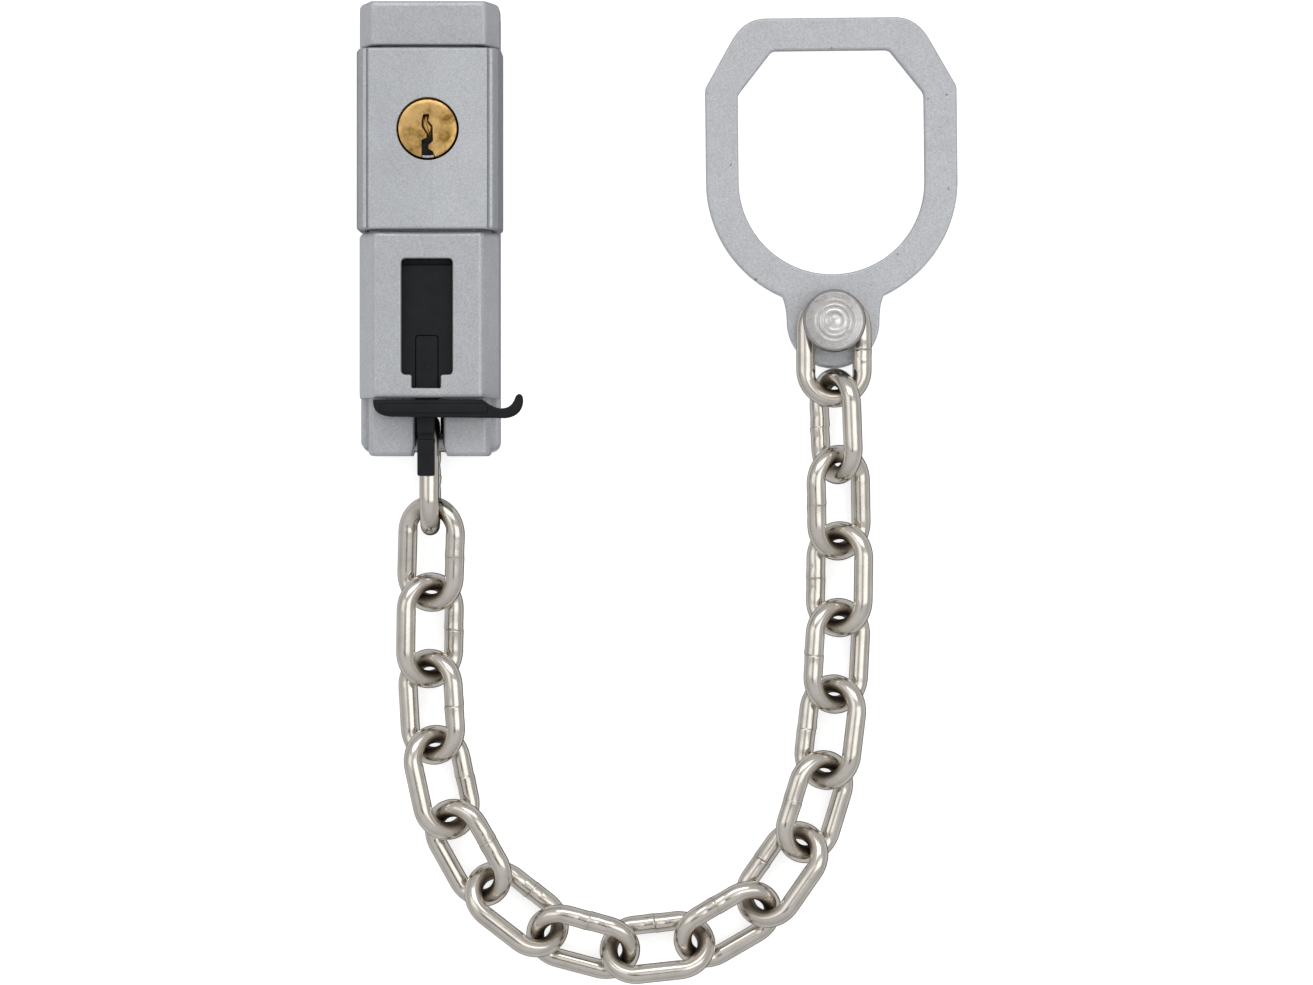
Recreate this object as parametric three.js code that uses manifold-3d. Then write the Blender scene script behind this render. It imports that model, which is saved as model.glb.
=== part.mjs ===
// Door chain guard: a surface-mounted housing with a keyed lock, eighteen chain links and a door ring.
// Millimetres. The origin is the centre of the housing's flat back face, +Z points away from the
// door frame, +Y points up the frame, and the chain and ring lie flat in the XY plane to the right.
import * as THREE from "three";
import { mergeVertices } from "three/addons/utils/BufferGeometryUtils.js";
import Module from "manifold-3d";

const wasm = await Module();
wasm.setup();

// ---------- driving dimensions ----------
const gap = 0.3;                   // clearance between neighbouring pieces

const backWidth = 28.4;            // base plate and the foot of every flank
const backLength = 90.4;
const plateThickness = 1.5;
const coverBack = plateThickness + gap;
const wall = 2.0;

const cap = { bottom: 36.9, top: 46.0, front: 19.5, faceWidth: 23.2, flankTop: 12.0 };
const neck = { bottom: -0.8, top: 37.2, front: 19.6, faceWidth: 20.4, width: 25.0, flankTop: 12.0 };
const box = { bottom: -34.3, top: -0.6, front: 20.5, faceWidth: 22.0, flankTop: 13.0 };
const foot = { bottom: -46.0, top: -34.0, front: 14.0, faceWidth: 23.2, width: 24.8, flankTop: 12.0 };
const skirt = { bottom: -44.4, top: -34.0, front: 8.0, faceWidth: 27.4, flankTop: 7.0 };
const sleeve = { bottom: -0.3, top: 36.5, front: 22.0, faceWidth: 24.0, width: 29.5, flankTop: 12.0 };

const lockY = 20.0;                // centre of the lock cylinder
const plugRadius = 6.0;
const bodyRadius = 8.5;
const plugBack = 8.6;
const tailRadius = 2.4;

const window_ = { left: -5.4, right: 5.0, bottom: -29.6, top: -6.1, corner: 1.0 };
const notch = { left: -3.3, right: 2.6, bottom: -32.3 };
const slotHalfWidth = 2.95;        // chain slot in the foot
const slotTop = -36.3;

const tongueX = -0.5;              // centre line of the slider's tongue
const sliderBack = 16.0;
const sliderSkin = 18.1;
const linerFront = 18.0;
const tongueEnd = -50.1;
const bar = { left: -11.1, right: 19.2, top: -34.65, bottom: -38.1, front: 20.4 };

const wireRadius = 2.0;            // 4 mm welded chain
const linkHalfWidth = 5.75;        // centre line of a limb from the link's middle
const linkTip = 10.25;             // centre line of the bow from the link's middle
const anchorTip = 10.725;          // the first link is a little longer
const linkClearance = 0.8;         // slack between the bows of neighbouring links
const bowSpacing = 2 * wireRadius + linkClearance;
const linkPitch = 2 * linkTip - bowSpacing;
const slidePerDegree = 0.045;      // a turning link slides this far towards the inside of the U

const pinRadius = 1.75;
const pinY = -43.2;
const anchorHeight = 7.8;          // height of the first link's centre line
const chainHeight = 5.3;           // height of the free chain's centre line
const ringHeight = 7.1;            // height of the last link's centre line

// The way each link from the second to the last but one points, in degrees from straight down,
// turning towards the ring: down from the housing, round the bottom of the U and up to the ring.
const linkHeadings = [-2, -1, 3, 12, 29, 52, 75, 96, 120, 145, 163, 173, 177, 179, 181, 182];
// How far each link lies over on its side; neighbours lean opposite ways.
const freeRoll = 34;
const rollOfLink = { 1: 30, 15: 36, 16: 57 };
// Height of the far bow of these links; every other bow is at chainHeight.
const bowHeight = { 1: 6.0, 15: 6.8, 16: ringHeight };

const ringThickness = 4.0;
const shankRadius = 2.2;
const headRadius = 6.4;
const lastLink = linkHeadings.length + 1;

// ---------- finishes ----------
const finish = (color, roughness, metalness) =>
  new THREE.MeshStandardMaterial({ color, roughness, metalness, flatShading: true });
const silverPaint = finish("#b1b3b6", 0.5, 0.4);
const plainSteel = finish("#9b9d9f", 0.45, 0.8);
const nickelSteel = finish("#b4ada4", 0.3, 0.95);
const brass = finish("#b9935c", 0.35, 0.9);
const blackPlastic = finish("#26282a", 0.55, 0.0);
const springSteel = finish("#7b7e82", 0.4, 0.9);

// ---------- solids ----------
function solid(geometry) {
  const bare = geometry.index ? geometry : geometry.clone();
  bare.deleteAttribute("normal");
  bare.deleteAttribute("uv");
  const merged = mergeVertices(bare, 1e-4);
  return new wasm.Manifold(new wasm.Mesh({
    numProp: 3,
    vertProperties: new Float32Array(merged.attributes.position.array),
    triVerts: new Uint32Array(merged.index.array),
  }));
}

function geometryOf(body) {
  const mesh = body.getMesh();
  const geometry = new THREE.BufferGeometry();
  geometry.setAttribute("position", new THREE.BufferAttribute(mesh.vertProperties, 3));
  geometry.setIndex(new THREE.BufferAttribute(mesh.triVerts, 1));
  return geometry;
}

const joined = (first, ...others) => others.reduce((sum, each) => sum.add(each), first);
const cut = (first, ...others) => others.reduce((rest, each) => rest.subtract(each), first);

function block(x0, x1, y0, y1, z0, z1) {
  const geometry = new THREE.BoxGeometry(x1 - x0, y1 - y0, z1 - z0);
  geometry.translate((x0 + x1) / 2, (y0 + y1) / 2, (z0 + z1) / 2);
  return solid(geometry);
}

// A lathe profile of [radius, height] pairs turned about a line parallel to Z.
function turned(profile, x, y, segments = 32) {
  const points = profile.map(([radius, height]) => new THREE.Vector2(radius, height));
  const geometry = new THREE.LatheGeometry(points, segments);
  geometry.rotateX(Math.PI / 2);
  geometry.translate(x, y, 0);
  return solid(geometry);
}

const post = (radius, z0, z1, x, y, segments = 32) =>
  turned([[0, z0], [radius, z0], [radius, z1], [0, z1]], x, y, segments);

const tube = (inner, outer, z0, z1, x, y) =>
  turned([[inner, z0], [outer, z0], [outer, z1], [inner, z1], [inner, z0]], x, y);

function plateOf(shape, z0, z1, curveSegments = 6) {
  const geometry = new THREE.ExtrudeGeometry(shape, { depth: z1 - z0, bevelEnabled: false, curveSegments });
  geometry.translate(0, 0, z0);
  return solid(geometry);
}

function roundedRectangle(x0, x1, y0, y1, corner) {
  const shape = new THREE.Shape();
  shape.moveTo(x0 + corner, y0);
  shape.lineTo(x1 - corner, y0);
  shape.absarc(x1 - corner, y0 + corner, corner, -Math.PI / 2, 0);
  shape.lineTo(x1, y1 - corner);
  shape.absarc(x1 - corner, y1 - corner, corner, 0, Math.PI / 2);
  shape.lineTo(x0 + corner, y1);
  shape.absarc(x0 + corner, y1 - corner, corner, Math.PI / 2, Math.PI);
  shape.lineTo(x0, y0 + corner);
  shape.absarc(x0 + corner, y0 + corner, corner, Math.PI, 1.5 * Math.PI);
  return shape;
}

// A length of casting along Y whose flanks stand straight to flankTop and then lean in to the face.
function casting(width, faceWidth, back, flankTop, front, y0, y1, edge = 0.8) {
  const half = width / 2;
  const face = faceWidth / 2;
  const shape = new THREE.Shape();
  shape.moveTo(-half, back);
  shape.lineTo(half, back);
  shape.lineTo(half, flankTop);
  shape.lineTo(face, front - edge);
  shape.lineTo(face - edge, front);
  shape.lineTo(edge - face, front);
  shape.lineTo(-face, front - edge);
  shape.lineTo(-half, flankTop);
  const geometry = new THREE.ExtrudeGeometry(shape, { depth: y1 - y0, bevelEnabled: false });
  geometry.rotateX(Math.PI / 2);
  geometry.translate(0, y1, 0);
  return solid(geometry);
}

// ---------- housing ----------
const coverScrews = { cover_screw_top: [0, 41.5], cover_screw_left: [-8.5, -38.6], cover_screw_right: [8.5, -38.6] };
const fixingHoles = [[0, 33.0], [0, -22.0]];

function basePlate() {
  const outline = roundedRectangle(-backWidth / 2, backWidth / 2, -backLength / 2, backLength / 2, 2);
  const countersinkOf = ([x, y], hole, head) =>
    turned([[0, -1], [head + 1, -1], [hole, plateThickness - 0.4], [hole, 3], [0, 3]], x, y);
  return cut(
    plateOf(outline, 0, plateThickness),
    block(-2.7, 2.7, -50, slotTop, -1, 3),
    ...Object.values(coverScrews).map((place) => countersinkOf(place, 1.7, 2.9)),
    ...fixingHoles.map(([x, y]) => post(2.6, -1, 3, x, y)),
  );
}

function windowCut() {
  const { left, right, bottom, top, corner } = window_;
  return joined(
    plateOf(roundedRectangle(left, right, bottom, top, corner), 17, 22),
    block(notch.left, notch.right, notch.bottom, bottom + 2, 17, 22),
  );
}

function housingCover() {
  const outside = joined(
    casting(backWidth, cap.faceWidth, coverBack, cap.flankTop, cap.front, cap.bottom, cap.top),
    casting(neck.width, neck.faceWidth, coverBack, neck.flankTop, neck.front, neck.bottom, neck.top),
    casting(backWidth, box.faceWidth, coverBack, box.flankTop, box.front, box.bottom, box.top),
    casting(foot.width, foot.faceWidth, coverBack, foot.flankTop, foot.front, foot.bottom, foot.top),
    casting(backWidth, skirt.faceWidth, coverBack, skirt.flankTop, skirt.front, skirt.bottom, skirt.top),
  );
  const hollow = joined(
    casting(backWidth - 2 * wall, box.faceWidth - 3, 1, 12, box.front - wall, box.bottom + wall, -2.4),
    casting(neck.width - 2 * wall, neck.faceWidth - 4, 1, 11, neck.front - wall, -2.6, neck.top - wall),
  );
  const slotFlare = new THREE.Shape();
  slotFlare.moveTo(-4.0, foot.bottom - 1);
  slotFlare.lineTo(4.0, foot.bottom - 1);
  slotFlare.lineTo(slotHalfWidth, foot.bottom + 2);
  slotFlare.lineTo(-slotHalfWidth, foot.bottom + 2);
  const pinBore = post(pinRadius + gap, -14, 10.3, 0, 0, 24).rotate([0, 90, 0]);
  const hollowed = cut(
    outside,
    hollow,
    post(bodyRadius + gap, 3, 21, 0, lockY, 40),
    windowCut(),
    block(tongueX - 2.6, tongueX + 2.9, slotTop - 1, box.bottom + wall + 1, 9, sliderSkin + gap),
    block(-3.4, 3.4, -37, box.bottom + wall + 1, 4.5, 7.5),
    block(-slotHalfWidth, slotHalfWidth, foot.bottom - 1, slotTop, 1, foot.front + 1),
    plateOf(slotFlare, 1, foot.front + 1),
    pinBore.translate([0, pinY, anchorHeight]),
    ...Object.values(coverScrews).map(([x, y]) => post(1.6, 1, 9.5, x, y, 20)),
  );
  const springLug = block(tongueX - 1.5, tongueX + 1.5, -4.6, -3.2, 9, box.front - wall + 0.5);
  return hollowed.add(springLug);
}

function lockSleeve() {
  const { bottom, top, front, faceWidth, width, flankTop } = sleeve;
  return cut(
    casting(width, faceWidth, coverBack, flankTop, front, bottom, top, 1.0),
    casting(neck.width + 0.9, neck.faceWidth + 0.9, 1, neck.flankTop, front - wall, bottom - 1, top + 1),
    post(plugRadius + gap, 15, 25, 0, lockY, 40),
  );
}

// ---------- lock ----------
function lockPlug() {
  const keyway = new THREE.Shape([
    [-0.9, 2.9], [0.4, 2.9], [0.1, 1.6], [1.0, 0.6], [1.1, -2.5], [0.1, -3.4], [0.2, -4.1],
    [1.0, -4.5], [1.5, -5.6], [1.5, -7], [-1.2, -7], [-1.2, -2.3], [-0.2, -1.8], [-0.2, -1.1],
    [-1.2, 0.4], [-1.2, 1.6],
  ].map(([x, y]) => new THREE.Vector2(x, lockY + y)));
  const profile = [
    [0, 3.4], [tailRadius, 3.4], [tailRadius, plugBack], [plugRadius, plugBack],
    [plugRadius, sleeve.front - 0.3], [plugRadius - 0.3, sleeve.front], [0, sleeve.front],
  ];
  return cut(turned(profile, 0, lockY, 40), plateOf(keyway, 10, sleeve.front + 1));
}

function lockCam() {
  const lobe = roundedRectangle(-2, 8, lockY - 2, lockY + 2, 1.5);
  return cut(
    joined(post(4.5, 5, 7, 0, lockY), plateOf(lobe, 5, 7)),
    post(tailRadius + gap, 4, 8, 0, lockY),
  );
}

const camCirclip = () => cut(
  tube(tailRadius + gap, 3.7, 3.9, 4.6, 0, lockY),
  block(-0.8, 0.8, lockY, lockY + 5, 3, 5),
);

// ---------- release slider ----------
// The panel fills the window from behind and has a channel for the slider's strip.
function windowLiner() {
  const panel = block(-7.8, 7.8, -30.8, -5.0, 14, linerFront);
  const channel = block(tongueX - 2.3, tongueX + 2.7, -31, -21.4, sliderBack - gap, linerFront + 1);
  return cut(panel, channel);
}

function releaseSlider() {
  const hook = new THREE.Shape();
  hook.moveTo(bar.left, bar.top);
  hook.lineTo(bar.left, bar.top - 0.6);
  hook.quadraticCurveTo(bar.left + 0.3, bar.bottom, bar.left + 4, bar.bottom);
  hook.lineTo(15.6, bar.bottom - 0.3);
  hook.quadraticCurveTo(19.0, bar.bottom + 0.1, bar.right, -34.9);
  hook.quadraticCurveTo(bar.right, -33.7, 18.6, -33.5);
  hook.quadraticCurveTo(17.9, -33.5, 17.6, -34.3);
  hook.quadraticCurveTo(16.9, -36.6, 14.4, -36.4);
  hook.quadraticCurveTo(12.6, -36.0, 11.1, bar.top);
  const strip = roundedRectangle(tongueX - 2.0, tongueX + 2.4, -37, -21.7, 0.8);
  const tongue = roundedRectangle(tongueX - 1.75, tongueX + 1.75, tongueEnd, -36, 0.5);
  return joined(
    plateOf(hook, sliderBack, bar.front),
    plateOf(strip, sliderBack, sliderSkin),
    plateOf(tongue, sliderBack, sliderSkin),
    block(tongueX - 1.0, tongueX + 1.0, -32.6, -31.2, 9.5, sliderBack + 0.5),
  );
}

class Coil extends THREE.Curve {
  constructor(radius, turns, start, end) {
    super();
    Object.assign(this, { radius, turns, start, end });
  }

  getPoint(t, target = new THREE.Vector3()) {
    const angle = 2 * Math.PI * this.turns * t;
    const along = this.start + (this.end - this.start) * t;
    return target.set(this.radius * Math.cos(angle), along, this.radius * Math.sin(angle));
  }
}

function section(radius, sides) {
  const corners = Array.from({ length: sides }, (_, i) => {
    const angle = (2 * Math.PI * (i + 0.5)) / sides;
    return new THREE.Vector2(radius * Math.cos(angle), radius * Math.sin(angle));
  });
  return new THREE.Shape(corners);
}

function sliderSpring() {
  const turns = 9;
  const coil = new Coil(1.7, turns, -30.7, -5.1);
  const options = { steps: turns * 9, extrudePath: coil, bevelEnabled: false };
  const geometry = new THREE.ExtrudeGeometry(section(0.3, 5), options);
  geometry.translate(tongueX, 0, 11.6);
  return solid(geometry);
}

function anchorPin() {
  return post(pinRadius, -12, 10, 0, 0, 20).rotate([0, 90, 0]).translate([0, pinY, anchorHeight]);
}

function coverScrew([x, y]) {
  const profile = [[0, 0.1], [2.6, 0.1], [1.3, 1.3], [1.3, 9.0], [0, 9.0]];
  const cross = joined(block(x - 1.5, x + 1.5, y - 0.3, y + 0.3, -1, 0.8),
    block(x - 0.3, x + 0.3, y - 1.5, y + 1.5, -1, 0.8));
  return cut(turned(profile, x, y, 20), cross);
}

// ---------- chain ----------
// One half of a link: up a limb, round the bow and down the other limb.
class HalfLink extends THREE.Curve {
  constructor(tip) {
    super();
    this.limb = tip - linkHalfWidth + 0.2;
    this.arc = Math.PI * linkHalfWidth;
  }

  getPoint(t, target = new THREE.Vector3()) {
    const along = t * (2 * this.limb + this.arc);
    const bow = this.limb - 0.2;
    if (along < this.limb) return target.set(linkHalfWidth, along - 0.2, 0);
    if (along > this.limb + this.arc) {
      return target.set(-linkHalfWidth, bow - (along - this.limb - this.arc), 0);
    }
    const angle = (along - this.limb) / linkHalfWidth;
    return target.set(linkHalfWidth * Math.cos(angle), bow + linkHalfWidth * Math.sin(angle), 0);
  }
}

function linkSolid(tip) {
  const options = { steps: 11, extrudePath: new HalfLink(tip), bevelEnabled: false };
  const half = solid(new THREE.ExtrudeGeometry(section(wireRadius, 8), options));
  return half.add(half.rotate([0, 0, 180]));
}

// The direction of a link lying at this heading, climbing by rise over one pitch.
function directionOf(heading, rise) {
  const turn = THREE.MathUtils.degToRad(heading);
  const climb = rise / linkPitch;
  const level = Math.sqrt(1 - climb * climb);
  return new THREE.Vector3(level * Math.sin(turn), -level * Math.cos(turn), climb);
}

// The level direction square to a link that points to the inside of the U.
const inwardOf = (along) => new THREE.Vector3(0, 0, 1).cross(along).normalize();

// Where every link lies: its centre, its direction, how far it is rolled about that direction, and
// its hinge, which is the middle of the bow of the link before it.
function chainLayout() {
  const first = {
    centre: new THREE.Vector3(0, pinY + pinRadius + gap + wireRadius - anchorTip, anchorHeight),
    along: new THREE.Vector3(0, -1, 0),
    roll: 90,
    hinge: new THREE.Vector3(0, pinY, anchorHeight),
  };
  const layout = [first];
  const bow = first.centre.clone().addScaledVector(first.along, anchorTip);
  const addLink = (along, roll) => {
    const previous = layout[layout.length - 1].along;
    const turn = THREE.MathUtils.radToDeg(previous.angleTo(along));
    bow.addScaledVector(inwardOf(along), turn * slidePerDegree);
    const centre = bow.clone().addScaledVector(along, linkTip - bowSpacing);
    layout.push({ centre, along, roll, hinge: bow.clone() });
    bow.addScaledVector(along, linkPitch);
  };
  linkHeadings.forEach((heading, index) => {
    const number = index + 1;
    const rise = (bowHeight[number] ?? chainHeight) - bow.z;
    const lean = number % 2 === 1 ? 1 : -1;
    addLink(directionOf(heading, rise), lean * (rollOfLink[number] ?? freeRoll));
  });
  addLink(new THREE.Vector3(0, 1, 0), 0);
  return layout;
}

const chain = chainLayout();

function linkMesh(number) {
  const { centre, along, roll, hinge } = chain[number];
  const side = inwardOf(along).applyAxisAngle(along, THREE.MathUtils.degToRad(roll));
  const normal = side.clone().cross(along);
  const tip = number === 0 ? anchorTip : linkTip;
  const mesh = new THREE.Mesh(geometryOf(linkSolid(tip)), nickelSteel);
  mesh.name = `link_${String(number).padStart(2, "0")}`;
  mesh.quaternion.setFromRotationMatrix(new THREE.Matrix4().makeBasis(side, along, normal));
  mesh.position.copy(centre);
  mesh.userData.hinge = hinge;
  return mesh;
}

// ---------- door ring ----------
const rivet = chain[lastLink].centre.clone();
rivet.y += linkTip - wireRadius - gap - shankRadius;

const ring = {
  bowRadius: 25.8, bowY: 28.9, sideTop: 47.7, shoulder: [19.7, 58.75], top: 62.4, topHalf: 13.3,
  holeRadius: 19.1, holeSideTop: 46.6, holeTop: 55.8, holeTopHalf: 11.95,
  lobeRadius: 9.5, neckTop: 5.2, neckHalf: 10.4, turn: 0.6,
};

function ringOutline() {
  const { bowRadius, bowY, sideTop, shoulder, top, topHalf, lobeRadius, neckTop, neckHalf } = ring;
  const shape = new THREE.Shape();
  const neckAngle = Math.atan2(neckTop - bowY, neckHalf);
  shape.absarc(0, 0, lobeRadius, Math.PI, 2 * Math.PI);
  shape.quadraticCurveTo(lobeRadius, 3.4, neckHalf, neckTop);
  shape.absarc(0, bowY, bowRadius, neckAngle, 0);
  shape.lineTo(bowRadius, sideTop);
  shape.lineTo(...shoulder);
  shape.quadraticCurveTo(shoulder[0] - 2.4, top, topHalf, top);
  shape.lineTo(-topHalf, top);
  shape.quadraticCurveTo(2.4 - shoulder[0], top, -shoulder[0], shoulder[1]);
  shape.lineTo(-bowRadius, sideTop);
  shape.absarc(0, bowY, bowRadius, Math.PI, Math.PI - neckAngle, false);
  shape.quadraticCurveTo(-lobeRadius, 3.4, -lobeRadius, 0);
  return shape;
}

function ringHole() {
  const { holeRadius, bowY, holeSideTop, holeTop, holeTopHalf } = ring;
  const shape = new THREE.Shape();
  shape.absarc(0, bowY, holeRadius, Math.PI, 2 * Math.PI);
  shape.lineTo(holeRadius, holeSideTop);
  shape.lineTo(holeTopHalf, holeTop);
  shape.lineTo(-holeTopHalf, holeTop);
  shape.lineTo(-holeRadius, holeSideTop);
  return shape;
}

function doorRing() {
  return cut(
    plateOf(ringOutline(), 0, ringThickness, 14),
    plateOf(ringHole(), -1, ringThickness + 1, 18),
    post(shankRadius + gap, -1, ringThickness + 1, 0, 0, 24),
    post(3.9, -1, 1.4, 0, 0, 24),
  );
}

function ringRivet() {
  const headBack = ringHeight + wireRadius + gap;
  const headFront = headBack + 3;
  return turned([
    [0, 0.2], [3.2, 0.2], [3.6, 0.6], [3.6, 1.1], [shankRadius, 1.1], [shankRadius, headBack],
    [headRadius - 0.5, headBack], [headRadius, headBack + 0.5], [headRadius, headFront - 0.6],
    [headRadius - 0.6, headFront], [0, headFront],
  ], 0, 0, 36);
}

const washerTop = ringHeight - wireRadius - gap;
const rivetWasher = () => tube(shankRadius + gap, 5.0, ringThickness + 0.1, washerTop, 0, 0);

// ---------- assembly ----------
function piece(name, body, material) {
  const mesh = new THREE.Mesh(geometryOf(body), material);
  mesh.name = name;
  return mesh;
}

const housing = new THREE.Group();
housing.add(
  piece("base_plate", basePlate(), plainSteel),
  piece("housing_cover", housingCover(), silverPaint),
  piece("lock_sleeve", lockSleeve(), silverPaint),
  piece("lock_cylinder_body", tube(plugRadius + gap, bodyRadius, 8.3, 19.6, 0, lockY), brass),
  piece("lock_plug", lockPlug(), brass),
  piece("lock_cam", lockCam(), plainSteel),
  piece("cam_circlip", camCirclip(), springSteel),
  piece("lock_bar", block(-3, 3, -30, 15.1, 5, 7), plainSteel),
  piece("window_liner", windowLiner(), blackPlastic),
  piece("release_slider", releaseSlider(), blackPlastic),
  piece("slider_spring", sliderSpring(), springSteel),
  piece("anchor_pin", anchorPin(), plainSteel),
  ...Object.entries(coverScrews).map(([name, place]) => piece(name, coverScrew(place), plainSteel)),
);

const links = new THREE.Group();
chain.forEach((_, number) => links.add(linkMesh(number)));

const ringGroup = new THREE.Group();
ringGroup.add(
  piece("door_ring", doorRing(), silverPaint),
  piece("ring_rivet", ringRivet(), plainSteel),
  piece("rivet_washer", rivetWasher(), plainSteel),
);
ringGroup.position.set(rivet.x, rivet.y, 0);
ringGroup.rotation.z = THREE.MathUtils.degToRad(ring.turn);

const guard = new THREE.Group();
guard.add(housing, links, ringGroup);

export default guard;
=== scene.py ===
"""Door chain guard: the looks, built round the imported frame.

Lengths in the helpers below are millimetres in the frame's own axes; MM turns them into metres.
"""
import math
import random

import bmesh
import bpy
import numpy as np
from mathutils import Matrix, Vector


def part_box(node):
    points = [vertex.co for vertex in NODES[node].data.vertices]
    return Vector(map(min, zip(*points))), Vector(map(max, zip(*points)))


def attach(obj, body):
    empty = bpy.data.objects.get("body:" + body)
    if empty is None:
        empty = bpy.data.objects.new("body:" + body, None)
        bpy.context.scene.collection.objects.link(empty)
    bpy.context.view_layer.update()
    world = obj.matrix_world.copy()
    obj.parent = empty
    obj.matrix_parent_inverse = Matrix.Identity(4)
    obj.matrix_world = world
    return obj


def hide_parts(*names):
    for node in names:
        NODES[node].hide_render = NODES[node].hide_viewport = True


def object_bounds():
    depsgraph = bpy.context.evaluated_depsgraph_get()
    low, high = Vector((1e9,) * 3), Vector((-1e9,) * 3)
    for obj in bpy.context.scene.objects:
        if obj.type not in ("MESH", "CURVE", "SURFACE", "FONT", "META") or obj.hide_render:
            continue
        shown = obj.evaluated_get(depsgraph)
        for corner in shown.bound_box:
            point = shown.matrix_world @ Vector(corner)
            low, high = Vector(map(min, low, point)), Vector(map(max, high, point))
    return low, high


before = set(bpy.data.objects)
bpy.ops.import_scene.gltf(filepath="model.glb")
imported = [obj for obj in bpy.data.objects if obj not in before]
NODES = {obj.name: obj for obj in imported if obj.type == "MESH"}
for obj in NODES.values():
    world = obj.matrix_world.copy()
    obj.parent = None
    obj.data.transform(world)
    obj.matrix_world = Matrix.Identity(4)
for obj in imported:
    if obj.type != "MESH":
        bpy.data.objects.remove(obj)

cad_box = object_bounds()
MM = 0.001


def box_mm(node):
    """The lowest and highest corners of a CAD node, in millimetres."""
    low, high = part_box(node)
    return Vector(low) / MM, Vector(high) / MM


# ---------------------------------------------------------------- camera, floor and lights
def world_middle():
    """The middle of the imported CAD's box, in millimetres."""
    low, high = (Vector(corner) / MM for corner in cad_box)
    return (low + high) / 2


VIEW_DISTANCE = 1150.0
VIEW_WIDTH = 270.1
VIEW_SHIFT = (-0.4, 0.45)
SENSOR = 36.0
LIGHT_TARGET = (46, -54, 0)
TENT_AXIS = (-0.13, 0.03, 0.991)
TENT_STRENGTH = 0.7
TENT_LEVELS = ((0.0, 0.03), (0.05, 0.09), (0.12, 0.5), (0.2, 1.0), (0.46, 0.86), (0.54, 0.72), (0.70, 0.84),
               (0.86, 0.98), (0.974, 1.0), (0.985, 0.12), (1.0, 0.04))
FLOOR_REACH = 6000
FLOOR_DROP = 0.4
FLOOR_GLOW = 0.62


def add_camera():
    """A camera square above the middle of the guard, as wide as VIEW_WIDTH at the floor."""
    middle = world_middle()
    data = bpy.data.cameras.new("camera")
    data.sensor_width = SENSOR
    data.lens = SENSOR * VIEW_DISTANCE / VIEW_WIDTH
    data.clip_end = 20
    camera = bpy.data.objects.new("camera", data)
    camera.location = Vector((middle.x + VIEW_SHIFT[0], middle.y + VIEW_SHIFT[1], VIEW_DISTANCE)) * MM
    bpy.context.collection.objects.link(camera)
    bpy.context.scene.camera = camera


def add_area(name, place, size, power):
    """A rectangular softbox that faces the middle of the guard."""
    data = bpy.data.lights.new(name, "AREA")
    data.shape = "RECTANGLE"
    data.size, data.size_y = (side * MM for side in size)
    data.energy = power
    light = bpy.data.objects.new(name, data)
    light.location = Vector(place) * MM
    direction = (Vector(LIGHT_TARGET) - Vector(place)).normalized()
    light.rotation_euler = direction.to_track_quat("-Z", "Y").to_euler()
    bpy.context.collection.objects.link(light)


def add_tent():
    """A light tent that leans to the left: bright overhead but for the hole the lens looks through.

    Its levels run from straight below (0) to straight above (1) along its own axis.
    """
    world = bpy.data.worlds.new("tent")
    world.use_nodes = True
    tree = world.node_tree
    direction = tree.nodes.new("ShaderNodeTexCoord").outputs["Generated"]
    upward = tree.nodes.new("ShaderNodeVectorMath")
    upward.operation = "DOT_PRODUCT"
    upward.inputs[1].default_value = TENT_AXIS
    tree.links.new(direction, upward.inputs[0])
    ramp = tree.nodes.new("ShaderNodeValToRGB")
    while len(ramp.color_ramp.elements) < len(TENT_LEVELS):
        ramp.color_ramp.elements.new(0.5)
    for element, (place, level) in zip(ramp.color_ramp.elements, TENT_LEVELS):
        element.position = place
        element.color = (level, level * 1.005, level * 1.01, 1)
    height = tree.nodes.new("ShaderNodeMapRange")
    height.inputs["From Min"].default_value = -1
    tree.links.new(upward.outputs["Value"], height.inputs["Value"])
    tree.links.new(height.outputs["Result"], ramp.inputs["Fac"])
    tree.links.new(ramp.outputs["Color"], tree.nodes["Background"].inputs["Color"])
    tree.nodes["Background"].inputs["Strength"].default_value = TENT_STRENGTH
    bpy.context.scene.world = world
    bpy.context.scene.view_settings.view_transform = "Standard"


def add_lights():
    """The tent and three large softboxes, as for a product photo on white."""
    add_tent()
    add_area("softbox_left", (-470, 60, 860), (460, 1000), 0.85)
    add_area("softbox_right", (430, -40, 900), (420, 1000), 1.3)
    add_area("softbox_top", (30, 560, 760), (900, 380), 1.9)


def add_floor():
    """Plain pale paper that glows a little, so that shadows stay faint, and is not mirrored in metal."""
    mesh = bpy.data.meshes.new("floor")
    signs = ((-1, -1), (1, -1), (1, 1), (-1, 1))
    corners = [(x * FLOOR_REACH * MM, y * FLOOR_REACH * MM, -FLOOR_DROP * MM) for x, y in signs]
    mesh.from_pydata(corners, [], [(0, 1, 2, 3)])
    floor = bpy.data.objects.new("floor", mesh)
    bpy.context.collection.objects.link(floor)
    make = Shader("floor_paper")
    make.set(base=(0.85, 0.85, 0.85), roughness=0.9, metallic=0.0)
    make.shader.inputs["Emission Color"].default_value = (1, 1, 1, 1)
    make.shader.inputs["Emission Strength"].default_value = FLOOR_GLOW
    mesh.materials.append(make.material)
    floor.visible_glossy = False


# ---------------------------------------------------------------- materials
# The numbers of a Mix node's sockets when it mixes colours.
MIX_FACTOR, MIX_FIRST, MIX_SECOND = 0, 6, 7
MIX_RESULT = 2


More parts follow.
